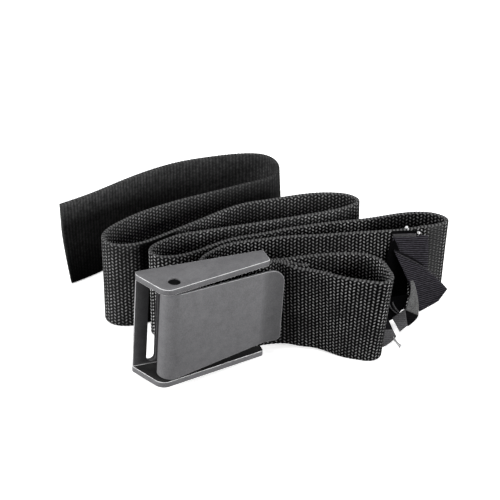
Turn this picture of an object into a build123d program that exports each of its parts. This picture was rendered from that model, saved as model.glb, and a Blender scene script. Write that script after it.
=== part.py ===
"""Dive weight belt: folded webbing strap, cam buckle with a hinged lever, and a pinned ribbon.

Units are millimetres, +Z is up. The belt stands on the edge of its webbing. The origin is at the
middle of the outline, at floor level.
"""

import os
from math import cos, radians, sin

from build123d import *

# Webbing.
STRAP_WIDTH = 50.0
STRAP_THICKNESS = 1.8
SAMPLE_STEP = 2.5
TURN_STEP = 0.5

# Plan route of the webbing's centre line, from the free end to the buckle. Each stretch is a node.
# It starts where the stretch before it ends, so only its own knots are listed.
ROUTE = {
    "strap_run_1": [(-99.5, 22.0), (-85.0, 32.0), (-70.0, 44.5), (-55.0, 56.0), (-39.0, 65.0),
                    (-22.0, 70.5), (-5.0, 73.8)],
    "strap_right_bend_1": [(6.0, 72.5), (12.2, 67.3), (14.3, 60.0), (12.0, 52.0), (5.0, 46.8)],
    "strap_run_2": [(-3.0, 43.0), (-17.0, 36.2), (-33.0, 28.6), (-48.0, 20.3), (-60.0, 12.0),
                    (-69.0, 3.5)],
    "strap_left_bend_1": [(-74.2, -3.5), (-75.2, -10.0), (-71.5, -15.0), (-64.5, -16.4)],
    "strap_run_3": [(-57.0, -14.8), (-48.0, -9.3), (-38.0, -1.5), (-27.0, 7.0), (-16.0, 15.6),
                    (-5.0, 22.4), (9.0, 26.8), (24.0, 31.2), (36.0, 33.2)],
    "strap_right_bend_2": [(45.0, 32.8), (51.6, 30.2), (54.4, 26.0), (51.2, 21.6)],
    "strap_run_4": [(45.0, 17.9), (34.0, 13.6), (20.0, 9.3), (3.0, 4.2), (-12.0, 0.0), (-27.0, -4.0),
                    (-38.0, -7.8), (-45.5, -13.0)],
    "strap_left_bend_2": [(-50.0, -17.6), (-51.0, -22.4), (-47.5, -26.2)],
    "strap_run_5": [(-41.0, -27.0), (-34.0, -25.2), (-26.5, -21.2), (-18.0, -15.2), (-8.0, -9.8),
                    (4.0, -6.2), (15.0, -2.2), (28.0, 1.6), (42.0, 5.0), (57.0, 7.6), (70.0, 11.4),
                    (82.0, 14.0)],
    "strap_right_bend_3": [(89.5, 13.8), (95.8, 11.3), (98.9, 7.2), (95.5, 3.6)],
    "strap_run_6": [(88.0, 1.2), (78.0, -1.6), (66.0, -3.4), (50.0, -5.2), (33.0, -7.3), (18.0, -8.6),
                    (4.0, -11.4), (-8.0, -14.2), (-15.2, -17.6)],
    "strap_left_bend_3": [(-20.0, -22.0), (-24.0, -26.5), (-25.4, -31.0), (-22.0, -34.8)],
    "strap_run_7": [(-15.0, -35.0), (-6.0, -32.9), (2.0, -30.7), (12.0, -29.6), (27.0, -26.6),
                    (42.0, -24.3), (51.0, -24.2)],
    "strap_loop_bend": [(58.0, -26.0), (63.5, -30.9), (66.4, -37.4), (66.4, -44.0), (62.4, -47.4)],
    "strap_run_8": [(55.6, -47.7), (47.7, -45.7), (38.9, -41.6), (30.8, -38.3), (22.5, -36.6),
                    (16.0, -35.5), (9.4, -36.0)],
}

RUN_8_RAISE = 1.6

# Moves every node so that the origin is at the middle of the outline.
CENTRING = (0.095, -0.408, 0.0)

# Buckle, drawn in its own frame: X along the base plate, -Y towards the lever, Z across the webbing.
BUCKLE_AT = (-61.75, -59.5)
BUCKLE_YAW = 22.8
BUCKLE_ROLL = 3.8
BUCKLE_WIDTH = 56.4
BASE_LENGTH = 68.7
BASE_THICKNESS = 2.8
EAR_THICKNESS = 3.1
EAR_CORNERS = [(0.0, 0.0), (BASE_LENGTH, 0.0), (BASE_LENGTH - 0.2, -9.9), (9.9, -21.5)]
EAR_ROUNDINGS = [2.6, 1.2, 1.6, 5.5]
SLOT_WIDTH = 4.7
OPEN_SLOT = (10.9, 48.0)
BAR_SLOTS = [26.3, 39.1]
PIN_AT = (16.9, -13.8)
PIN_RADIUS = 3.2
PIN_RECESS = 0.9

# Cam lever.
HINGE_CLEARANCE = 0.06
SIDE_CLEARANCE = 0.6
BARREL_RADIUS = 6.5
PLATE_THICKNESS = 1.3
PLATE_ANGLE = 11.2
PLATE_LENGTH = 47.8
GUSSET_REACH = 12.0
GUSSET_ROOT = (4.5, 3.0)
LIP_RADIUS = 20.0
LIP_TURN = 32.0
TAPER_SPAN = (16.0, 76.0)
TAPER_LOW = 5.3
TAPER_HIGH = 3.1
TIP_ROUNDING_LOW = 3.2
TIP_ROUNDING_HIGH = 6.0

# Webbing inside the buckle, in the buckle's frame: its layers and the bar that it turns round.
LAYER_FRONT = -5.7
LAYER_TAIL = -3.8
LAYER_BACK = 1.5
WRAP_RADIUS = 2.2
WRAP_JOIN = 46.0
STRAP_RAISE = 3.2
TAIL_FLAT = 66.0
TAIL_KNOTS = [(74.4, -3.8), (80.2, -4.9), (85.9, -7.8), (89.8, -10.2)]
FRONT_ENTRY = (72.2, LAYER_FRONT)
ENTRY_OVERLAP = 4.0

# Ribbon and its tag pin.
RIBBON_WIDTH = 18.0
RIBBON_THICKNESS = 0.8
RIBBON_AT = (79.0, -2.9)
RIBBON_LEAN = -8.0
FLAP_LEAN = -38.0
RIBBON_ANGLE = 13.0
RIBBON_DROP = 16.0
RIBBON_FLAP = 19.0
TAG_PIN_RADIUS = 0.4

os.makedirs("parts", exist_ok=True)


def buckle_place():
    """Returns the location that puts the buckle's own frame into the belt's frame."""
    lift = BASE_LENGTH * sin(radians(BUCKLE_ROLL))
    turn = Rot(0, 0, BUCKLE_YAW) * Rot(0, BUCKLE_ROLL, 0)
    return Pos(BUCKLE_AT[0], BUCKLE_AT[1], lift) * turn


def buckle_to_plan(x, y):
    """Returns the plan point of a buckle-frame point at half the webbing's width."""
    point = (buckle_place() * Pos(x, y, STRAP_RAISE + STRAP_WIDTH / 2)).position
    return (point.X, point.Y)


def band(line, step_length=SAMPLE_STEP):
    """Returns the webbing's face, which lies evenly on both sides of a plan line."""
    steps = max(8, round(line.length / step_length))
    left, right = [], []
    for step in range(steps + 1):
        at = line.position_at(step / steps)
        tangent = line.tangent_at(step / steps).normalized()
        side = Vector(-tangent.Y, tangent.X, 0) * (STRAP_THICKNESS / 2)
        left.append(at + side)
        right.append(at - side)
    edges = [Spline(*left), Line(left[-1], right[-1]), Spline(*right[::-1]), Line(right[0], left[0])]
    return make_face(Wire(edges))


def route_pieces():
    """Returns each stretch of the webbing's route as its own solid, meeting its neighbours."""
    entry = buckle_to_plan(FRONT_ENTRY[0] - ENTRY_OVERLAP, LAYER_FRONT)
    knots = [knot for stretch in ROUTE.values() for knot in stretch] + [entry]
    whole = Spline(*knots)
    pieces, first = {}, 0
    for name in ROUTE:
        last = first + len(ROUTE[name])
        start, end = (whole.param_at_point(Vector(*knots[i], 0)) for i in (first, last))
        pieces[name] = extrude(band(whole.trim(start, end)), STRAP_WIDTH)
        first = last
    beyond = buckle_place() * Pos(FRONT_ENTRY[0], LAYER_FRONT, BUCKLE_WIDTH / 2)
    cutter = beyond * Box(20, 20, 2 * BUCKLE_WIDTH, align=(Align.MAX, Align.CENTER, Align.CENTER))
    pieces["strap_run_8"] = Pos(0, 0, RUN_8_RAISE) * pieces["strap_run_8"] - cutter
    return pieces


def side_outline(height):
    """Returns a solid of the buckle's outline seen along the pin, from z = 0 to the height."""
    solid = extrude(make_face(Polyline(*EAR_CORNERS, close=True)), height)
    for corner, radius in zip(EAR_CORNERS, EAR_ROUNDINGS):
        edges = solid.edges().filter_by(Axis.Z).sort_by_distance(Vector(*corner, height / 2))
        solid = fillet(edges[0], radius)
    return solid


def ear(z):
    """Returns one ear plate with its lower face at height z and its pin hole."""
    hole = Pos(*PIN_AT, EAR_THICKNESS / 2) * Cylinder(PIN_RADIUS, 3 * EAR_THICKNESS)
    return Pos(0, 0, z) * (side_outline(EAR_THICKNESS) - hole)


def buckle_frame():
    """Returns the base plate with its slots and the two ears as one moulding."""
    slab = Pos(0, -BASE_THICKNESS, 0) * Box(
        BASE_LENGTH, BASE_THICKNESS, BUCKLE_WIDTH, align=(Align.MIN, Align.MIN, Align.MIN)
    )
    base = side_outline(BUCKLE_WIDTH) & slab
    slots = [(OPEN_SLOT[0], SlotOverall(OPEN_SLOT[1], SLOT_WIDTH, rotation=90))]
    between_ears = BUCKLE_WIDTH - 2 * EAR_THICKNESS
    slots += [(centre, Rectangle(SLOT_WIDTH, between_ears)) for centre in BAR_SLOTS]
    for centre, slot in slots:
        cutter = extrude(Plane.XZ * slot, 3 * BASE_THICKNESS, both=True)
        base -= Pos(centre, 0, BUCKLE_WIDTH / 2) * cutter
    return base + ear(0) + ear(BUCKLE_WIDTH - EAR_THICKNESS)


def lever_profile():
    """Returns the plate seen along the pin: a straight stretch, a flared lip and a gusset."""
    ahead = Vector(cos(radians(PLATE_ANGLE)), sin(radians(PLATE_ANGLE)), 0)
    inward = Vector(-ahead.Y, ahead.X, 0)
    foot = Vector(*PIN_AT, 0) - inward * BARREL_RADIUS
    front = Line(foot, foot + ahead * PLATE_LENGTH)
    lip = JernArc(front @ 1, front % 1, LIP_RADIUS, -LIP_TURN)
    back = inward * PLATE_THICKNESS
    inner = JernArc((front @ 1) + back, front % 1, LIP_RADIUS + PLATE_THICKNESS, -LIP_TURN)
    edges = [front, lip, Line(lip @ 1, inner @ 1), inner, Line((front @ 1) + back, (front @ 0) + back)]
    plate = make_face(Wire(edges + [Line((front @ 0) + back, front @ 0)]))
    reach = foot + ahead * GUSSET_REACH + back
    root = Vector(*PIN_AT, 0) + ahead * GUSSET_ROOT[0] - inward * GUSSET_ROOT[1]
    gusset = make_face(Polyline((front @ 0) + back * 0.9, reach - back * 0.1, root, close=True))
    return plate + gusset


def lever_envelope(height):
    """Returns a solid that narrows the lever towards its tip and rounds the tip's two corners."""
    start, end = TAPER_SPAN
    low_tip, high_tip = (end, TAPER_LOW), (end, height - TAPER_HIGH)
    corners = [(-start, 0), (start, 0), low_tip, high_tip, (start, height), (-start, height)]
    solid = extrude(Plane.XZ * make_face(Polyline(*corners, close=True)), 2 * BASE_LENGTH, both=True)
    for (x, z), radius in ((low_tip, TIP_ROUNDING_LOW), (high_tip, TIP_ROUNDING_HIGH)):
        edges = solid.edges().filter_by(Axis.Y).sort_by_distance(Vector(x, 0, z))
        solid = fillet(edges[0], radius)
    return solid


def cam_lever():
    """Returns the lever: a barrel round the hinge pin and a flat plate with a flared lip."""
    low = EAR_THICKNESS + SIDE_CLEARANCE
    height = BUCKLE_WIDTH - 2 * low
    barrel = Pos(*PIN_AT, height / 2) * Cylinder(BARREL_RADIUS, height)
    bore = Pos(*PIN_AT, height / 2) * Cylinder(PIN_RADIUS + HINGE_CLEARANCE, 2 * height)
    lever = (extrude(lever_profile(), height) + barrel) - bore
    return Pos(0, 0, low) * (lever & lever_envelope(height))


def hinge_pin():
    """Returns the round pin, held in both ears with its ends a little below their faces."""
    length = BUCKLE_WIDTH - 2 * PIN_RECESS
    return Pos(*PIN_AT, BUCKLE_WIDTH / 2) * Cylinder(PIN_RADIUS, length)


def buckle_strap():
    """Returns the webbing in the buckle: front layer, turn round the bar, and tail."""
    slot_out, slot_in = BAR_SLOTS
    turn = FilletPolyline(
        (WRAP_JOIN, LAYER_FRONT), (slot_out, LAYER_FRONT), (slot_out, LAYER_BACK),
        (slot_in, LAYER_BACK), (slot_in, LAYER_TAIL), (WRAP_JOIN, LAYER_TAIL),
        radius=WRAP_RADIUS,
    )
    front = Line((WRAP_JOIN, LAYER_FRONT), FRONT_ENTRY)
    start, flat = (WRAP_JOIN, LAYER_TAIL), (TAIL_FLAT, LAYER_TAIL)
    tail = Spline(start, flat, *TAIL_KNOTS, tangents=[(1, 0), (1, -0.6)])
    faces = {
        "strap_front_layer": band(front),
        "strap_bar_turn": band(turn, TURN_STEP),
        "strap_tail": band(tail),
    }
    return {name: Pos(0, 0, STRAP_RAISE) * extrude(face, STRAP_WIDTH) for name, face in faces.items()}


def ribbon_pieces():
    """Returns the ribbon's hanging leg, its folded flap and the tag pin."""
    place = Pos(*RIBBON_AT, STRAP_WIDTH) * Rot(0, 0, RIBBON_ANGLE)
    low = (Align.CENTER, Align.MAX, Align.MAX)
    leg = place * Rot(RIBBON_LEAN, 0, 0) * Box(RIBBON_WIDTH, RIBBON_THICKNESS, RIBBON_DROP, align=low)
    flap = Pos(4, -3.4, -RIBBON_DROP - 0.4) * Rot(FLAP_LEAN, 0, 0) * Box(
        RIBBON_WIDTH, RIBBON_THICKNESS, RIBBON_FLAP, align=low
    )
    pin = place * Pos(-1, -3.2, -3) * Rot(90, 0, 0) * Cylinder(TAG_PIN_RADIUS, 3.0)
    return {"ribbon_leg": leg, "ribbon_flap": place * flap, "tag_pin": pin}


def write(name, solid):
    """Writes one node as its own STEP file."""
    export_step(solid, f"parts/{name}.step")


def build():
    """Builds every node in the belt's frame and writes it."""
    place = buckle_place()
    nodes = route_pieces()
    for name, solid in buckle_strap().items():
        nodes[name] = place * solid
    nodes["buckle_frame"] = place * buckle_frame()
    nodes["cam_lever"] = place * cam_lever()
    nodes["hinge_pin"] = place * hinge_pin()
    nodes.update(ribbon_pieces())
    for name, solid in nodes.items():
        write(name, Pos(*CENTRING) * solid)


build()
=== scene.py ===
import math

import bmesh
import bpy
import numpy as np
from mathutils import Matrix, Vector


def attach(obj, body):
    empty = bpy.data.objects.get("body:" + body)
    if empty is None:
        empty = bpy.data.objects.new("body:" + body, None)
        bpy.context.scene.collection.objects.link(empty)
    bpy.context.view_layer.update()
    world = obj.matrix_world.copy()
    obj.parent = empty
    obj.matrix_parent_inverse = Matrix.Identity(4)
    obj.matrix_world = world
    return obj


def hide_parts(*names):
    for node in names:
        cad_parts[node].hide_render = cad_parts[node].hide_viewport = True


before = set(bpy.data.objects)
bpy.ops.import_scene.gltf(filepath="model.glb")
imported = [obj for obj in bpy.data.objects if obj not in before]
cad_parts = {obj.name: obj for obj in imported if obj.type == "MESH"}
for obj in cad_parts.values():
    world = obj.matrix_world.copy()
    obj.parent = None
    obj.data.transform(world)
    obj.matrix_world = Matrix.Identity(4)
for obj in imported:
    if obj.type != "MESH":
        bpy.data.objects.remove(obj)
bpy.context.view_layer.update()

MM = 0.001
WHITE = (1.0, 1.0, 1.0, 1.0)

# ---------------------------------------------------------------- camera, floor and lights
TARGET = Vector((-0.0014, 0.0546, 0.0))
CAMERA_ELEVATION = 33.0
CAMERA_DISTANCE = 1.035
FIELD_OF_VIEW = 14.99
SURROUND = 0.10
FLOOR_SPAN = 6.0
FLOOR_DROP = 0.0002
FLOOR_GLOW = 0.62

# Name, place, the point that it looks at, size and power.
LIGHTS = [
    ("left_box", (-1.02, -0.45, 0.28), (0.0, 0.0, 0.03), 0.5, 19.0),
    ("right_box", (1.03, -0.54, 0.28), (0.0, 0.0, 0.03), 0.5, 18.0),
    ("top_box", (0.0, 0.05, 1.25), (0.0, 0.0, 0.0), 0.7, 11.5),
]


def make_camera():
    """Puts the camera in front of the belt, looking down on it."""
    data = bpy.data.cameras.new("camera")
    data.angle = math.radians(FIELD_OF_VIEW)
    data.clip_start, data.clip_end = 0.05, 20.0
    camera = bpy.data.objects.new("camera", data)
    up = math.radians(CAMERA_ELEVATION)
    camera.location = TARGET + CAMERA_DISTANCE * Vector((0.0, -math.cos(up), math.sin(up)))
    camera.rotation_euler = (math.pi / 2 - up, 0.0, 0.0)
    bpy.context.collection.objects.link(camera)
    bpy.context.scene.camera = camera


def area_light(name, place, aim, size, power):
    """Adds one soft square white light that looks at a point."""
    data = bpy.data.lights.new(name, "AREA")
    data.shape = "SQUARE"
    data.size, data.energy = size, power
    light = bpy.data.objects.new(name, data)
    light.location = place
    light.rotation_euler = (Vector(aim) - Vector(place)).to_track_quat("-Z", "Y").to_euler()
    bpy.context.collection.objects.link(light)


def make_studio():
    """Makes the pale floor, a dim even surround, a soft box on each side and one above."""
    world = bpy.data.worlds.new("studio")
    world.use_nodes = True
    world.node_tree.nodes["Background"].inputs["Color"].default_value = WHITE
    world.node_tree.nodes["Background"].inputs["Strength"].default_value = SURROUND
    bpy.context.scene.world = world
    bpy.context.scene.view_settings.view_transform = "Standard"
    for light in LIGHTS:
        area_light(*light)
    mesh = bpy.data.meshes.new("floor")
    span = FLOOR_SPAN
    corners = [(-span, -span, 0), (span, -span, 0), (span, span, 0), (-span, span, 0)]
    mesh.from_pydata(corners, [], [(0, 1, 2, 3)])
    floor = bpy.data.objects.new("floor", mesh)
    floor.location.z = -FLOOR_DROP
    floor.visible_diffuse = False
    floor.visible_glossy = False
    bpy.context.collection.objects.link(floor)
    look = Look("floor_paper", roughness=0.9, specular=0.0)
    look.set("Base Color", (0.9, 0.9, 0.9, 1.0))
    look.set("Emission Color", WHITE)
    look.set("Emission Strength", FLOOR_GLOW)
    mesh.materials.append(look.material)


# ---------------------------------------------------------------- materials
class Look:
    """One Principled material, with short calls for its nodes."""

    def __init__(self, name, roughness=0.5, specular=0.5):
        self.material = bpy.data.materials.new(name)
        self.material.use_nodes = True
        self.tree = self.material.node_tree
        self.shader = self.tree.nodes["Principled BSDF"]
        self.set("Roughness", roughness)
        self.set("Specular IOR Level", specular)

    def set(self, socket, value):
        self.shader.inputs[socket].default_value = value

    def feed(self, target, value):
        """Links a socket, or sets a plain number."""
        if isinstance(value, bpy.types.NodeSocket):
            self.tree.links.new(value, target)
        else:
            target.default_value = value

    def node(self, kind, **settings):
        made = self.tree.nodes.new(kind)
        for key, value in settings.items():
            setattr(made, key, value)
        return made

    def math(self, operation, a, b=0.0, c=0.0):
        made = self.node("ShaderNodeMath", operation=operation)
        for target, value in zip(made.inputs, (a, b, c)):
            self.feed(target, value)
        return made.outputs[0]

    def smooth(self, value, low, high, to_low=0.0, to_high=1.0):
        """A smooth ramp of a value from one range to another."""
        made = self.node("ShaderNodeMapRange", interpolation_type="SMOOTHSTEP")
        for target, given in zip(made.inputs, (value, low, high, to_low, to_high)):
            self.feed(target, given)
        return made.outputs[0]

    def noise(self, scale, detail=2.0, where=None, roughness=0.5):
        made = self.node("ShaderNodeTexNoise")
        made.inputs["Scale"].default_value = scale
        made.inputs["Detail"].default_value = detail
        made.inputs["Roughness"].default_value = roughness
        if where is not None:
            self.feed(made.inputs["Vector"], where)
        return made.outputs["Fac"]

    def place(self):
        return self.node("ShaderNodeTexCoord").outputs["Object"]

    def attribute(self, name):
        made = self.node("ShaderNodeAttribute", attribute_name=name)
        return made

    def mix(self, factor, dark, light):
        made = self.node("ShaderNodeMix", data_type="RGBA")
        self.feed(made.inputs[0], factor)
        self.feed(made.inputs[6], dark)
        self.feed(made.inputs[7], light)
        return made.outputs[2]

    def mixed(self, factor, first, second):
        """A plain number between two others."""
        made = self.node("ShaderNodeMix", data_type="FLOAT")
        for target, value in zip((made.inputs[0], made.inputs[2], made.inputs[3]), (factor, first, second)):
            self.feed(target, value)
        return made.outputs[0]

    def window(self, value, start, end, fade):
        """1 between two bounds, with soft edges."""
        rising = self.smooth(value, start - fade, start + fade)
        return self.math("MULTIPLY", rising, self.smooth(value, end + fade, end - fade))

    def bump(self, height, distance, strength=1.0, under=None):
        made = self.node("ShaderNodeBump")
        made.inputs["Distance"].default_value = distance
        made.inputs["Strength"].default_value = strength
        self.feed(made.inputs["Height"], height)
        if under is not None:
            self.feed(made.inputs["Normal"], under)
        return made.outputs["Normal"]

    def out(self, **sockets):
        for name, value in sockets.items():
            self.feed(self.shader.inputs[name.replace("_", " ")], value)


# The weave, in millimetres: columns along the webbing, crowns across it, and the slant of a crown.
HALF_WIDTH = 25.0
WEAVE_PITCH = 1.85
WEAVE_REPEAT = 2.0
CROWN_LONG = 0.84
CROWN_SHORT = 0.43
CROWN_TILT = math.radians(34.0)
ROW_PITCH = 1.25
SELVEDGE = 0.85
# The black yarn, and the pale colour of the crowns, loops and ribs: the weave is the yarn's own, the
# paleness on it is a painted highlight.
YARN_DARK = (0.0012, 0.0012, 0.0014, 1.0)
YARN_HIGHLIGHT = (0.48, 0.48, 0.482, 1.0)

# Where the fine flat weave near the free end gives way to the coarse one, and where the painted haze, a
# lift of the blacks on the runs at the back, ends, in millimetres from the free end.
FINE_FACE = (150.0, 260.0)
BACK_RUNS = (330.0, 620.0)

# The stretch with ribs across the webbing: start, end, fade.
RIBBED_STRETCH = (690.0, 699.0, 2.5)

# Stretches of the webbing where painted shade darkens the weave, in bends, gaps and by the buckle: start,
# end, fade, which face, and how much darker, or paler where it is below 0, which is painted light.
PAINTED_SHADE_STRETCHES = [(238.0, 272.0, 6.0, "front", 0.25), (276.0, 300.0, 3.0, "front", 0.95),
                  (325.0, 430.0, 15.0, "front", 0.3), (388.0, 430.0, 12.0, "front", 0.5),
                  (519.0, 537.0, 4.0, "front", -0.25), (545.0, 628.0, 8.0, "front", 0.25),
                  (640.0, 692.0, 12.0, "front", 0.65), (718.0, 870.0, 8.0, "rear", 0.25),
                  (914.0, 929.0, 4.0, "rear", 0.9), (976.0, 996.0, 9.0, "both", 0.5)]


def webbing_look():
    """Black nylon webbing: slanted yarn crowns in a herringbone with a painted highlight on them, dark
    gaps, a looped selvedge, and painted shade, light and haze along some stretches.
    """
    look = Look("webbing_nylon", roughness=0.6, specular=0.04)
    where = look.attribute("cloth").outputs["Vector"]
    cloth = look.node("ShaderNodeSeparateXYZ")
    look.feed(cloth.inputs[0], where)
    along, across, face = cloth.outputs
    sway = look.math("SUBTRACT", look.noise(0.3, 2.0, where), 0.5)
    along = look.math("MULTIPLY_ADD", sway, 0.7, along)
    column = look.math("DIVIDE", along, WEAVE_PITCH)
    odd = look.math("MODULO", look.math("ABSOLUTE", look.math("FLOOR", column)), 2.0)
    sign = look.math("MULTIPLY_ADD", odd, 2.0, -1.0)
    x = look.math("MULTIPLY", look.math("SUBTRACT", look.math("FRACT", column), 0.5), WEAVE_PITCH)
    row = look.math("MULTIPLY_ADD", odd, 0.5, look.math("DIVIDE", across, WEAVE_REPEAT))
    y = look.math("MULTIPLY", look.math("SUBTRACT", look.math("FRACT", row), 0.5), WEAVE_REPEAT)
    crown = crown_shape(look, x, y, sign)
    upper = crown_shape(look, x, look.math("SUBTRACT", y, WEAVE_REPEAT), sign)
    lower = crown_shape(look, x, look.math("ADD", y, WEAVE_REPEAT), sign)
    crown = look.math("MAXIMUM", crown, look.math("MAXIMUM", upper, lower))
    edge = look.math("ABSOLUTE", look.math("SUBTRACT", across, HALF_WIDTH))
    flat = look.smooth(along, *FINE_FACE, 0.96, 0.0)
    hem = look.smooth(edge, HALF_WIDTH - SELVEDGE, HALF_WIDTH - 0.75 * SELVEDGE)
    hem = look.math("MULTIPLY", hem, look.math("MULTIPLY_ADD", flat, -0.9, 1.0))
    wave = look.math("SINE", look.math("MULTIPLY", along, 2 * math.pi / WEAVE_PITCH))
    loops = look.math("MULTIPLY_ADD", wave, 0.10, 0.11)
    columns = look.math("COSINE", look.math("MULTIPLY", x, 2 * math.pi / WEAVE_PITCH))
    columns = look.math("MULTIPLY_ADD", columns, 0.02, 0.07)
    # Painted shade: the fine face darkens towards its lower edge; it is also brighter near the free end
    # than further along.
    columns = look.math("MULTIPLY", columns, look.smooth(across, 2.0, 34.0, 0.12, 1.0))
    columns = look.math("MULTIPLY", columns, look.smooth(along, 0.0, 150.0, 1.75, 0.72))
    patchy = look.smooth(look.noise(0.55, 4.0, where, 0.65), 0.32, 0.68, 0.45, 1.0)
    drift = look.smooth(look.noise(0.045, 2.0, where), 0.35, 0.65, 0.55, 1.0)
    body = look.math("MULTIPLY", look.math("MULTIPLY", crown, patchy), drift)
    # Painted haze: the blacks are lifted on the runs at the back.
    body = look.math("MULTIPLY", body, look.smooth(along, *BACK_RUNS, 0.95, 1.0))
    body = look.math("ADD", body, look.smooth(along, *BACK_RUNS, 0.028, 0.0))
    front, rear = look.smooth(face, 0.4, 0.6), look.smooth(face, -0.4, -0.6)
    # Painted shade along the listed stretches, and painted light where the depth is below 0.
    for start, end, fade, side, depth in PAINTED_SHADE_STRETCHES:
        spot = look.window(along, start, end, fade)
        spot = look.math("MULTIPLY", spot, {"both": 1.0, "front": front, "rear": rear}[side])
        body = look.math("MULTIPLY", body, look.math("MULTIPLY_ADD", spot, -depth, 1.0))
    rows = look.math("SINE", look.math("MULTIPLY", across, 2 * math.pi / ROW_PITCH))
    rows = look.math("MULTIPLY_ADD", rows, 0.045, 0.075)
    ribbed = look.math("MULTIPLY", look.window(along, *RIBBED_STRETCH), rear)
    body = look.mixed(look.math("MULTIPLY", ribbed, 0.75), body, rows)
    plain = look.mixed(flat, body, look.math("MULTIPLY", columns, patchy))
    shade = look.mixed(hem, plain, loops)
    # The pale end of the mix is a painted highlight on the yarn.
    colour = look.mix(shade, YARN_DARK, YARN_HIGHLIGHT)
    fibres = look.noise(5.0, 2.0, where)
    height = look.math("MULTIPLY_ADD", fibres, 0.10, shade)
    look.out(Base_Color=colour, Normal=look.bump(height, 0.00035, 0.7))
    return look.material


def crown_shape(look, x, y, sign):
    """A soft oval, 1 at its middle, that slants one way or the other with the sign."""
    cos, sin = math.cos(CROWN_TILT), math.sin(CROWN_TILT)
    turned_x = look.math("MULTIPLY", look.math("MULTIPLY", x, sign), sin)
    length = look.math("MULTIPLY_ADD", y, cos, turned_x)
    cross = look.math("MULTIPLY", look.math("MULTIPLY", x, sign), cos)
    cross = look.math("MULTIPLY_ADD", y, -sin, cross)
    length, cross = look.math("DIVIDE", length, CROWN_LONG), look.math("DIVIDE", cross, CROWN_SHORT)
    far = look.math("ADD", look.math("MULTIPLY", length, length), look.math("MULTIPLY", cross, cross))
    return look.smooth(far, 1.15, 0.05)


def plastic_look(name, base, pale, specular=0.3):
    """Mid-grey moulded plastic: fine grain, slight mottling, paler edges from wear and a painted highlight,
    painted shade on the inner faces and the lip.
    """
    look = Look(name, roughness=0.6, specular=specular)
    where = look.place()
    mottle = look.noise(230.0, 4.0, where, 0.65)
    broad = look.noise(45.0, 2.0, where)
    fine = look.noise(1500.0, 3.0, where, 0.7)
    shade = look.math("MULTIPLY_ADD", look.math("SUBTRACT", mottle, 0.5), 0.55, 0.5)
    shade = look.math("MULTIPLY_ADD", look.math("SUBTRACT", fine, 0.5), 0.9, shade)
    shade = look.math("MULTIPLY_ADD", look.math("SUBTRACT", broad, 0.5), 0.25, shade)
    dark, light = (tuple(c * k for c in base[:3]) + (1.0,) for k in (0.72, 1.28))
    colour = look.mix(look.smooth(shade, 0.1, 0.9), dark, light)
    # The attribute is above 0 on pale rims, from wear and a painted highlight, and below 0 where painted
    # shade darkens the ears' inner faces and the lever's lip.
    wear_and_painted_light = look.attribute("wear_and_painted_light").outputs["Fac"]
    shaded = look.math("MAXIMUM", look.math("MULTIPLY", wear_and_painted_light, -1.0), 0.0)
    wear_and_painted_light = look.math("MAXIMUM", wear_and_painted_light, 0.0)
    # Painted shade: where the attribute is below 0 the colour darkens towards 0.12 of the base colour.
    colour = look.mix(shaded, colour, tuple(c * 0.12 for c in base[:3]) + (1.0,))
    scratch = look.smooth(look.noise(300.0, 3.0, where), 0.3, 0.55, 0.55, 1.0)
    colour = look.mix(look.math("MULTIPLY", wear_and_painted_light, scratch), colour, pale)
    height = look.math("MULTIPLY_ADD", fine, 1.0, look.math("MULTIPLY", mottle, 1.2))
    look.out(Base_Color=colour, Normal=look.bump(height, 0.00007, 0.6))
    return look.material


RIB_PITCH = 1.2
PLY_PITCH = 0.45


def ribbon_look():
    """Dark grosgrain ribbon: close ribs across its width and a paler back, with painted shade, down to
    black, where its tone is below 0.
    """
    look = Look("ribbon_grosgrain", roughness=0.7, specular=0.03)
    where = look.attribute("cloth").outputs["Vector"]
    cloth = look.node("ShaderNodeSeparateXYZ")
    look.feed(cloth.inputs[0], where)
    sway = look.math("SUBTRACT", look.noise(0.25, 2.0, where), 0.5)
    along = look.math("ADD", cloth.outputs[0], sway)
    ribs = look.math("SINE", look.math("MULTIPLY", along, 2 * math.pi / RIB_PITCH))
    ribs = look.math("MULTIPLY_ADD", ribs, 0.5, 0.5)
    tone = cloth.outputs[2]
    ply = look.math("SINE", look.math("MULTIPLY", cloth.outputs[1], 2 * math.pi / PLY_PITCH))
    mottle = look.smooth(look.noise(0.6, 3.0, where), 0.25, 0.75, 0.55, 1.0)
    shade = look.math("MULTIPLY", ribs, mottle)
    dark = look.mix(shade, (0.002, 0.0018, 0.0028, 1.0), (0.068, 0.064, 0.076, 1.0))
    grain = look.smooth(look.noise(1.6, 4.0, where, 0.7), 0.3, 0.7)
    pale = look.mix(grain, (0.045, 0.045, 0.045, 1.0), (0.15, 0.15, 0.15, 1.0))
    colour = look.mix(look.math("MAXIMUM", tone, 0.0), dark, pale)
    # Painted shade: a tone below 0 darkens the ribbon towards black.
    painted_shade = look.math("MAXIMUM", look.math("MULTIPLY", tone, -1.0), 0.0)
    colour = look.mix(painted_shade, colour, (0.0015, 0.0015, 0.0018, 1.0))
    height = look.math("MULTIPLY_ADD", ply, 0.08, ribs)
    height = look.math("MULTIPLY", height, look.math("SUBTRACT", 1.0, look.math("ABSOLUTE", tone)))
    look.out(Base_Color=colour, Normal=look.bump(height, 0.00022, 0.8))
    return look.material


def clear_look():
    """Clear, slightly milky plastic of the tag pin."""
    look = Look("tag_clear", roughness=0.3, specular=0.5)
    cloudy = look.smooth(look.noise(900.0, 2.0, look.place()), 0.3, 0.7, 0.62, 0.8)
    look.out(Base_Color=look.mix(cloudy, (0.55, 0.55, 0.56, 1.0), (0.85, 0.85, 0.86, 1.0)))
    look.set("Alpha", 0.75)
    return look.material


# ---------------------------------------------------------------- webbing
STRAP_WIDTH = 50.0
STRAP_THICKNESS = 1.8
SECTION_ROWS = 14
STEP = 0.9
FINE_STEP = 0.2
CENTRING = (0.095, -0.408)

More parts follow.
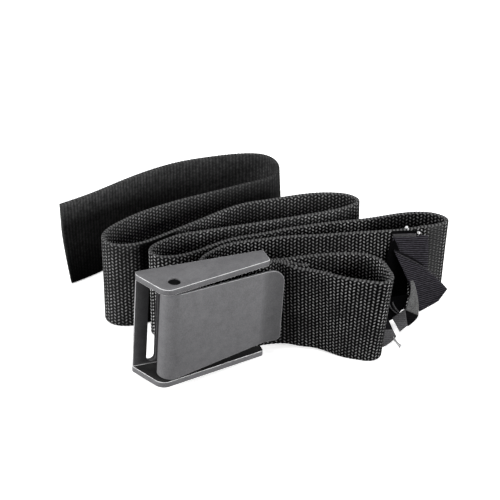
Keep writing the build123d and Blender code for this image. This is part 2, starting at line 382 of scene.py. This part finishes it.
# Plan route of the webbing's upper edge, from the free end to the buckle, in millimetres.
ROUTE = [
    (-99.5, 22.0), (-85.0, 32.0), (-70.0, 44.5), (-55.0, 56.0), (-39.0, 65.0), (-22.0, 70.5),
    (-5.0, 73.8), (6.0, 72.5), (11.6, 67.0), (13.3, 60.0), (11.4, 52.3), (5.0, 46.8), (-3.0, 43.0),
    (-17.0, 36.2), (-33.0, 28.6), (-48.0, 20.3), (-60.0, 12.0), (-69.0, 3.5), (-74.2, -3.5),
    (-75.2, -10.0), (-71.5, -15.0), (-64.5, -16.4), (-57.0, -14.8), (-48.0, -9.3), (-38.0, -1.5),
    (-27.0, 7.0), (-16.0, 15.6), (-5.0, 22.4), (9.0, 26.8), (24.0, 31.2), (36.0, 33.2),
    (45.0, 32.8), (51.6, 30.2), (54.4, 26.0), (51.2, 21.6), (45.0, 17.9), (34.0, 13.6),
    (20.0, 9.3), (3.0, 4.2), (-12.0, 0.0), (-27.0, -4.0), (-38.0, -7.8), (-45.5, -13.0),
    (-50.0, -17.6), (-51.0, -22.4), (-47.5, -26.2), (-41.0, -27.0), (-34.0, -25.2),
    (-26.5, -21.2), (-18.0, -15.2), (-8.0, -9.8), (4.0, -6.2), (15.0, -2.2), (28.0, 1.6),
    (42.0, 5.0), (57.0, 7.6), (70.0, 11.4), (82.0, 14.0), (89.5, 13.8), (95.8, 11.3),
    (98.9, 7.2), (95.5, 3.6), (88.0, 1.2), (78.0, -1.6), (66.0, -3.4), (50.0, -5.2),
    (33.0, -7.3), (18.0, -8.6), (4.0, -11.4), (-8.0, -14.2), (-15.2, -17.6), (-20.0, -22.0),
    (-24.0, -26.5), (-25.4, -31.0), (-22.0, -34.8), (-15.0, -35.0), (-6.0, -32.9),
    (2.0, -30.7), (12.0, -29.6), (27.0, -26.6), (42.0, -24.3), (51.0, -24.2), (58.0, -26.0),
    (63.5, -31.0), (66.5, -38.5), (67.5, -46.0), (64.0, -49.5), (57.0, -49.0), (48.5, -47.0),
    (38.5, -43.0), (30.0, -40.0), (22.0, -38.5), (16.0, -36.5),
]

# Where the lower edge stands apart from the upper one: knot number, offset in plan, height.
LEANS = {0: (0.8, -1.2, 0.0), 1: (0.3, -0.9, 0.0), 8: (1.2, 0.6, 0.0), 9: (1.8, 0.0, 0.0),
         10: (1.2, -0.5, 0.0), 58: (-0.6, 0.4, 0.0), 59: (-1.6, 0.8, 0.0), 60: (-2.0, 1.6, 0.0),
         61: (-1.4, 1.8, 0.0), 62: (-0.4, 0.8, 0.0), 83: (-1.5, 1.5, 0.0), 84: (-3.0, 2.5, 0.0),
         85: (-5.0, 2.0, 0.0), 86: (-5.0, 3.0, 0.0), 87: (-3.0, 3.0, 0.0), 88: (-1.5, 3.0, 0.0),
         89: (1.0, 3.0, 0.0), 90: (1.0, 4.0, 0.5), 91: (1.0, 3.5, 1.0), 92: (1.0, 2.0, 2.0)}

# Where the buckle's own frame stands, and the webbing's path through the buckle: X and Y in it.
BUCKLE_AT = (-61.75, -59.5)
BUCKLE_YAW = 22.8
BUCKLE_ROLL = 3.8
BASE_LENGTH = 68.7
STRAP_RAISE = 3.2
THROUGH_BUCKLE = [
    (72.2, -5.7), (62.0, -5.7), (50.0, -5.7), (38.0, -5.7), (30.1, -5.6), (27.1, -4.7), (26.3, -2.6),
    (26.3, -0.8), (27.4, 0.9), (30.3, 1.5), (35.1, 1.5), (37.9, 0.9), (39.1, -0.9), (39.3, -2.0),
    (40.8, -3.4), (44.0, -3.8), (52.0, -3.8), (62.0, -3.8), (68.5, -3.8),
]

# The short tail that leaves the buckle: upper edge, lower edge and the lower edge's height.
TAIL = [
    ((11.0, -33.2), (9.6, -33.9), 2.2), ((16.5, -33.4), (16.5, -32.4), 1.2),
    ((22.5, -34.4), (22.7, -32.2), 0.5), ((27.2, -35.2), (27.4, -32.8), 0.2),
]


def buckle_matrix():
    """The matrix that puts the buckle's own frame, in millimetres, into the part's frame."""
    lift = BASE_LENGTH * math.sin(math.radians(BUCKLE_ROLL))
    turn = Matrix.Rotation(math.radians(BUCKLE_YAW), 4, "Z")
    turn = turn @ Matrix.Rotation(math.radians(BUCKLE_ROLL), 4, "Y")
    at = (BUCKLE_AT[0] + CENTRING[0], BUCKLE_AT[1] + CENTRING[1], lift)
    return Matrix.Translation(at) @ turn


def edge_pair(upper, lower, height):
    """Both edges of the webbing at one knot, kept its full width apart."""
    lean = math.hypot(upper[0] - lower[0], upper[1] - lower[1])
    rise = math.sqrt(STRAP_WIDTH**2 - lean**2)
    (x, y), (low_x, low_y), (shift_x, shift_y) = upper, lower, CENTRING
    return (x + shift_x, y + shift_y, height + rise, low_x + shift_x, low_y + shift_y, height)


def strap_knots():
    """The upper and lower edge of the webbing at each knot."""
    knots = []
    for number, (x, y) in enumerate(ROUTE):
        dx, dy, height = LEANS.get(number, (0.0, 0.0, 0.0))
        knots.append(edge_pair((x, y), (x + dx, y + dy), height))
    place = buckle_matrix()
    for x, y in THROUGH_BUCKLE:
        low = place @ Vector((x, y, STRAP_RAISE))
        high = place @ Vector((x, y, STRAP_RAISE + STRAP_WIDTH))
        knots.append((*high, *low))
    knots += [edge_pair(*knot) for knot in TAIL]
    return np.array(knots)


def natural_spline(knots, step):
    """Points evenly spaced along the natural cubic spline through the knots."""
    middle = (knots[:, :3] + knots[:, 3:]) / 2
    gaps = np.linalg.norm(np.diff(middle, axis=0), axis=1)
    at = np.concatenate([[0.0], np.cumsum(gaps)])
    count = len(at)
    system, wanted = np.eye(count), np.zeros_like(knots)
    for i in range(1, count - 1):
        before, after = gaps[i - 1], gaps[i]
        system[i, i - 1:i + 2] = before, 2 * (before + after), after
        wanted[i] = 6 * ((knots[i + 1] - knots[i]) / after - (knots[i] - knots[i - 1]) / before)
    bend = np.linalg.solve(system, wanted)
    where = np.linspace(0.0, at[-1], int(at[-1] / FINE_STEP))
    i = np.clip(np.searchsorted(at, where, "right") - 1, 0, count - 2)
    wide = gaps[i][:, None]
    left, right = (at[i + 1] - where)[:, None], (where - at[i])[:, None]
    fine = (bend[i] * left**3 + bend[i + 1] * right**3) / (6 * wide)
    fine += (knots[i] / wide - bend[i] * wide / 6) * left
    fine += (knots[i + 1] / wide - bend[i + 1] * wide / 6) * right
    middle = (fine[:, :3] + fine[:, 3:]) / 2
    run = np.concatenate([[0.0], np.cumsum(np.linalg.norm(np.diff(middle, axis=0), axis=1))])
    even = np.linspace(0.0, run[-1], int(run[-1] / step) + 1)
    return even, np.stack([np.interp(even, run, fine[:, k]) for k in range(6)], axis=1)


def strap_section(width, thickness):
    """The closed outline of the webbing's section: across, outwards, and which face it is on."""
    half, edge = thickness / 2, 0.75
    front = [(v, -half, -1.0) for v in np.linspace(edge, width - edge, SECTION_ROWS)]
    top = [(width - 0.25, -half * 0.72, 0.0), (width, 0.0, 0.0), (width - 0.25, half * 0.72, 0.0)]
    back = [(v, half, 1.0) for v in np.linspace(width - edge, edge, SECTION_ROWS)]
    low = [(0.25, half * 0.72, 0.0), (0.0, 0.0, 0.0), (0.25, -half * 0.72, 0.0)]
    return front + top + back + low


def make_strap(material):
    """Builds the whole webbing as one mesh along its route."""
    along, edges = natural_spline(strap_knots(), STEP)
    section = strap_section(STRAP_WIDTH, STRAP_THICKNESS)
    high, low = edges[:, :3], edges[:, 3:]
    rise = high - low
    rise /= np.linalg.norm(rise, axis=1)[:, None]
    ahead = np.gradient((high + low) / 2, axis=0)
    side = np.cross(ahead, rise)
    side /= np.linalg.norm(side, axis=1)[:, None]
    ahead = np.cross(rise, side)
    ahead /= np.linalg.norm(ahead, axis=1)[:, None]
    points, cloth = [], []
    for k, s in enumerate(along):
        scallop = 0.10 * math.cos(2 * math.pi * s / WEAVE_PITCH)
        for v, out, face in section:
            across = v
            if face == 0.0:
                across = v + (scallop - 0.1 if v > HALF_WIDTH else 0.1 - scallop)
            share = across / STRAP_WIDTH
            at = low[k] * (1 - share) + high[k] * share
            ripple = 0.12 * math.sin(s * 0.21 + 1.3 * share) * math.sin(math.pi * share)
            puff = 1.0 + 0.05 * math.cos(math.pi * (s / WEAVE_PITCH))
            fade = max(0.0, 1.0 - s / 9.0)
            slant = fade * (3.4 * max(0.0, 1.0 - share * 1.5) ** 1.3)
            at = at + side[k] * (out * puff + ripple) + ahead[k] * slant
            points.append(at * MM)
            cloth.append((s, v, face))
    ring = len(section)
    faces = []
    for k in range(len(along) - 1):
        for j in range(ring):
            a, b = k * ring + j, k * ring + (j + 1) % ring
            faces.append((a, b, b + ring, a + ring))
    faces.append(tuple(reversed(range(ring))))
    last = (len(along) - 1) * ring
    faces.append(tuple(range(last, last + ring)))
    strap = mesh_object("webbing_strap", points, faces, material)
    add_cloth(strap, cloth)
    nodes = [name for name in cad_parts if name.startswith("strap_")]
    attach(strap, "belt")
    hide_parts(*nodes)


def mesh_object(name, points, faces, material):
    """Makes one smooth mesh object from points in metres."""
    mesh = bpy.data.meshes.new(name)
    mesh.from_pydata([tuple(p) for p in points], [], faces)
    mesh.update()
    made = bpy.data.objects.new(name, mesh)
    bpy.context.collection.objects.link(made)
    mesh.materials.append(material)
    tidy = bmesh.new()
    tidy.from_mesh(mesh)
    bmesh.ops.recalc_face_normals(tidy, faces=tidy.faces)
    tidy.to_mesh(mesh)
    tidy.free()
    mesh.shade_smooth()
    return made


def add_cloth(piece, values):
    """Stores each point's place on the cloth, in millimetres, and its face or tone."""
    layer = piece.data.attributes.new("cloth", "FLOAT_VECTOR", "POINT")
    layer.data.foreach_set("vector", np.array(values, dtype=np.float32).ravel())


# ---------------------------------------------------------------- buckle
FLAT_ANGLE = math.radians(0.6)
EDGE_ANGLE = math.radians(28)
CREASE_ANGLE = math.radians(35)
BEVEL_SEGMENTS = 3


def rounded_copy(node, name, material, body, width, wear_and_painted_light):
    """Stands in for a CAD node with the same solid, its edges rounded as a moulding's are."""
    source = bpy.data.objects[node]
    work = bmesh.new()
    work.from_mesh(source.data)
    work.transform(source.matrix_world)
    bmesh.ops.remove_doubles(work, verts=work.verts, dist=1e-6)
    bmesh.ops.dissolve_limit(work, angle_limit=FLAT_ANGLE, verts=work.verts, edges=work.edges)
    mark = work.faces.layers.float.new("wear_and_painted_light")
    sharp = [e for e in work.edges if len(e.link_faces) == 2 and e.calc_face_angle() > EDGE_ANGLE]
    made = bmesh.ops.bevel(work, geom=sharp, offset=width * MM, offset_type="OFFSET",
                           segments=BEVEL_SEGMENTS, profile=0.5, affect="EDGES", clamp_overlap=True)
    rims = set(made["faces"])
    place = buckle_matrix().inverted()
    # Each face gets its wear and painted light: paler rims, or painted shade below 0.
    for face in work.faces:
        face[mark] = wear_and_painted_light(place @ (face.calc_center_median() / MM), face in rims)
    bmesh.ops.triangulate(work, faces=[f for f in work.faces if len(f.verts) > 4])
    mesh = bpy.data.meshes.new(name)
    work.to_mesh(mesh)
    work.free()
    mesh.materials.append(material)
    mesh.shade_smooth()
    piece = bpy.data.objects.new(name, mesh)
    bpy.context.collection.objects.link(piece)
    mesh.set_sharp_from_angle(angle=CREASE_ANGLE)
    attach(piece, body)
    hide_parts(node)


# Where wear and painted light show, in the buckle's own frame: the pin and the bare patch round it, the
# inner faces of the ears (painted shade), the front of the base plate, and where the lever's rims and the
# painted shade on its lip begin.
PIN_AT = (16.9, -13.8)
PIN_PATCH = 4.5
EARS_INSIDE = (3.0, 53.4)
BASE_FRONT = -3.2
RIM_START = 22.0
LIP_START = 64.0
LIP_FADE = 4.0
LIP_SHADE = -0.35


def frame_wear_and_painted_light(at, on_rim):
    """How pale the frame's outer rims are (up to 1: wear and a painted highlight), and the painted shade on
    the ears' inner faces (-1).
    """
    by_pin = math.hypot(at.x - PIN_AT[0], at.y - PIN_AT[1]) < PIN_PATCH
    by_ear = min(at.z - EARS_INSIDE[0], EARS_INSIDE[1] - at.z)
    if on_rim:
        return 0.0 if by_pin or (by_ear > 0.8 and at.x > 2.0) else 1.0
    return -1.0 if 0.0 < by_ear < 0.3 and at.y < BASE_FRONT else 0.0


def lever_wear_and_painted_light(at, on_rim):
    """How pale the plate's rounded rims are (up to 1: wear and a painted highlight), and how much painted
    shade darkens its flared lip (below 0).
    """
    if on_rim:
        return 1.0 if at.x > RIM_START else 0.15
    return LIP_SHADE * min(1.0, max(0.0, (at.x - LIP_START) / LIP_FADE))


def make_buckle():
    """Makes the frame, the lever and the pin."""
    # The pale rim colours stand for wear and a painted highlight along the edges.
    grey, wear_and_painted_light = (0.125, 0.124, 0.129, 1.0), (0.80, 0.80, 0.81, 1.0)
    frame_look = plastic_look("frame_plastic", grey, wear_and_painted_light)
    lever_look = plastic_look("lever_plastic", grey, (0.42, 0.42, 0.43, 1.0))
    pin_look = plastic_look("pin_plastic", (0.004, 0.004, 0.0044, 1.0), grey, 0.05)
    rounded_copy("buckle_frame", "frame_moulding", frame_look, "belt", 0.65, frame_wear_and_painted_light)
    rounded_copy("cam_lever", "lever_moulding", lever_look, "lever", 0.4, lever_wear_and_painted_light)
    rounded_copy("hinge_pin", "pin_moulding", pin_look, "belt", 0.3,
                 lambda at, on_rim: 0.0)


# ---------------------------------------------------------------- ribbon and tag pin
RIBBON_THICKNESS = 0.35
RIB_SPREAD = 0.65
FOLD_ROWS = 30
FOLD_COLUMNS = 13

# Corners that two folds of the ribbon share.
FLAP_LOW = ((85.0, -17.0, 9.0), (99.5, -9.0, 17.5))
BACK_LOW = ((77.5, -19.0, 11.5), (84.5, -18.5, 7.5))
TAIL_MID = ((66.0, -27.5, 5.0), (71.0, -26.0, 4.5))
TAIL_LOW = ((66.0, -29.0, 2.0), (73.0, -27.5, 1.0))

# Each fold of the ribbon: its tone at its first and last edge (1 pale back, 0 ribbed face, below 0 painted
# shade, -1 painted black shadow), the slope of its ribs, its first and last edge, and how far its two sides
# bulge in X.
RIBBON_FOLDS = [
    # A sheet painted black for the shadow behind the ribbon's lip.
    ((-1.0, -1.0), 0.0, ((70.0, -4.0, 49.5), (83.0, -3.5, 49.5)),
     ((70.0, -4.5, 47.5), (83.0, -4.0, 47.0)), (0.0, 0.0)),
    ((0.45, 0.45), 0.0, ((70.5, -5.5, 48.5), (82.5, -5.0, 48.5)),
     ((71.0, -5.0, 46.5), (82.5, -4.5, 46.5)), (0.0, 0.0)),
    ((0.0, 0.0), 0.0, ((71.0, -4.5, 46.5), (88.5, -3.5, 46.5)),
     ((77.5, -6.0, 28.0), (89.0, -5.0, 24.5)), (-2.5, 0.5)),
    ((0.0, -0.4), 0.34, ((71.5, -6.0, 39.0), (72.0, -6.0, 38.5)), FLAP_LOW, (0.5, 3.0)),
    ((-0.4, -0.6), 0.34, FLAP_LOW, ((92.5, -13.5, 11.5), (95.0, -12.5, 12.5)), (0.0, 0.0)),
    # A strip of painted shadow under the crest, then a painted highlight along the crest.
    ((-0.8, -0.8), 0.0, ((71.5, -5.5, 39.5), (72.0, -6.0, 38.5)),
     ((87.0, -6.5, 30.5), (87.0, -7.0, 28.0)), (1.5, 1.0)),
    ((0.3, 0.3), 0.0, ((72.5, -7.0, 38.5), (72.5, -7.0, 38.0)),
     ((96.0, -7.5, 22.5), (96.0, -7.5, 22.0)), (2.0, 2.0)),
    ((1.0, 1.0), 0.0, ((80.0, -13.5, 25.5), (81.5, -13.0, 25.5)), BACK_LOW, (1.0, 1.0)),
    ((-0.9, -0.9), 0.0, BACK_LOW, ((79.0, -20.0, 2.0), (80.0, -20.0, 2.5)), (0.0, 0.5)),
    ((0.5, 0.5), 0.0, ((71.0, -20.0, 7.0), (77.5, -19.0, 12.0)),
     ((75.0, -23.5, 1.0), (79.0, -20.0, 2.5)), (0.0, 0.0)),
    # Sheets painted black for the shadow behind the ribbon and beside the loop.
    ((-1.0, -1.0), 0.0, ((70.0, -4.5, 45.5), (71.5, -4.5, 45.5)),
     ((67.5, -9.0, 5.5), (78.5, -10.0, 6.5)), (-1.5, 3.0)),
    ((-1.0, -1.0), 0.0, ((68.0, -12.0, 14.0), (79.5, -14.0, 17.5)),
     ((68.5, -20.5, 5.0), (71.5, -20.0, 6.5)), (0.0, 1.5)),
    ((0.6, 0.6), 0.0, ((69.5, -15.5, 12.0), (70.0, -15.5, 12.5)),
     ((74.5, -19.5, 8.5), (74.5, -19.5, 9.0)), (-1.0, -1.0)),
    ((0.6, 0.6), 0.0, ((71.0, -15.5, 13.5), (71.5, -15.5, 14.0)),
     ((74.0, -19.0, 10.0), (74.5, -19.0, 10.5)), (-0.5, -0.5)),
    ((-0.9, -0.9), 0.0, ((66.0, -25.0, 11.5), (68.0, -24.0, 11.0)), TAIL_MID, (0.0, 0.0)),
    ((0.5, 0.5), 0.0, TAIL_MID, TAIL_LOW, (0.0, 0.0)),
    ((0.5, 0.5), 0.0, TAIL_LOW, ((65.5, -36.0, 0.5), (67.0, -35.0, 0.5)), (0.0, 0.5)),
]


def ribbon_fold(tone, slope, first, last, bulge):
    """One fold's points, faces and cloth values: a four-cornered sheet with bulging sides."""
    first, last = np.array(first), np.array(last)
    points, cloth = [], []
    for t in np.linspace(0.0, 1.0, FOLD_ROWS):
        edge = first * (1 - t) + last * t
        edge[:, 0] += 4 * t * (1 - t) * np.array(bulge)
        width = np.linalg.norm(edge[1] - edge[0])
        shade = tone[0] * (1 - t) + tone[1] * t
        for share in np.linspace(0.0, 1.0, FOLD_COLUMNS):
            at = edge[0] * (1 - share) + edge[1] * share
            points.append(at * MM)
            cloth.append((slope * at[0] - RIB_SPREAD * at[1] - at[2], share * width, shade))
    faces = []
    for k in range(FOLD_ROWS - 1):
        for j in range(FOLD_COLUMNS - 1):
            a = k * FOLD_COLUMNS + j
            faces.append((a, a + 1, a + FOLD_COLUMNS + 1, a + FOLD_COLUMNS))
    return points, faces, cloth


def make_ribbon(material):
    """Builds the folded ribbon as thin sheets, one to a fold."""
    points, faces, cloth = [], [], []
    for fold in RIBBON_FOLDS:
        more, quads, values = ribbon_fold(*fold)
        faces += [tuple(i + len(points) for i in quad) for quad in quads]
        points += more
        cloth += values
    ribbon = mesh_object("grosgrain_ribbon", points, faces, material)
    add_cloth(ribbon, cloth)
    area = sum(face.area for face in ribbon.data.polygons)
    thick = ribbon.modifiers.new("thickness", "SOLIDIFY")
    thick.thickness, thick.offset = RIBBON_THICKNESS * MM, 0.0
    apply_modifiers(ribbon)
    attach(ribbon, "belt")
    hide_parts("ribbon_leg", "ribbon_flap")
    print("ribbon area", round(area * 1e6))


def apply_modifiers(piece):
    """Bakes a piece's modifiers into its mesh."""
    graph = bpy.context.evaluated_depsgraph_get()
    mesh = bpy.data.meshes.new_from_object(piece.evaluated_get(graph))
    piece.modifiers.clear()
    piece.data = mesh


ROD_SIDES = 10


def rod(line, radius):
    """Points and faces of a round bar along a line; each point of the line has its own radius."""
    line = [Vector(at) for at in line]
    points, faces = [], []
    for k, at in enumerate(line):
        ahead = (line[min(k + 1, len(line) - 1)] - line[max(k - 1, 0)]).normalized()
        first = ahead.orthogonal().normalized()
        second = ahead.cross(first)
        for j in range(ROD_SIDES):
            turn = 2 * math.pi * j / ROD_SIDES
            points.append((at + (first * math.cos(turn) + second * math.sin(turn)) * radius[k]) * MM)
    for k in range(len(line) - 1):
        for j in range(ROD_SIDES):
            a, b = k * ROD_SIDES + j, k * ROD_SIDES + (j + 1) % ROD_SIDES
            faces.append((a, b, b + ROD_SIDES, a + ROD_SIDES))
    faces.append(tuple(reversed(range(ROD_SIDES))))
    last = (len(line) - 1) * ROD_SIDES
    faces.append(tuple(range(last, last + ROD_SIDES)))
    return points, faces


def make_tag(material):
    """Makes the clear fastener: a thread with two heads through the webbing, and two loose ends."""
    thread = [(77.0, -2.0, 50.0), (77.5, -2.0, 50.5), (78.0, -2.0, 50.5), (78.5, -2.5, 50.0),
              (78.5, -3.0, 49.0), (80.5, -3.0, 47.5), (83.0, -3.5, 48.0), (83.5, -4.5, 49.0),
              (84.0, -5.0, 49.0), (84.5, -5.0, 49.0)]
    widths = [0.35, 0.75, 0.75, 0.35, 0.16, 0.16, 0.16, 0.7, 0.8, 0.35]
    loose = [(71.0, -27.5, 1.0), (73.5, -33.5, 1.0), (75.0, -35.5, 1.0), (74.0, -37.0, 1.0)]
    second = [(71.0, -28.5, 0.7), (74.0, -35.5, 0.7)]
    points, faces = rod(thread, widths)
    for line, radius in ((loose, 0.38), (second, 0.3)):
        more, quads = rod(line, [radius] * len(line))
        faces += [tuple(i + len(points) for i in quad) for quad in quads]
        points += more
    pin = mesh_object("tag_fastener", points, faces, material)
    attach(pin, "belt")
    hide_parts("tag_pin")


make_camera()
make_studio()
make_strap(webbing_look())
make_buckle()
make_ribbon(ribbon_look())
make_tag(clear_look())
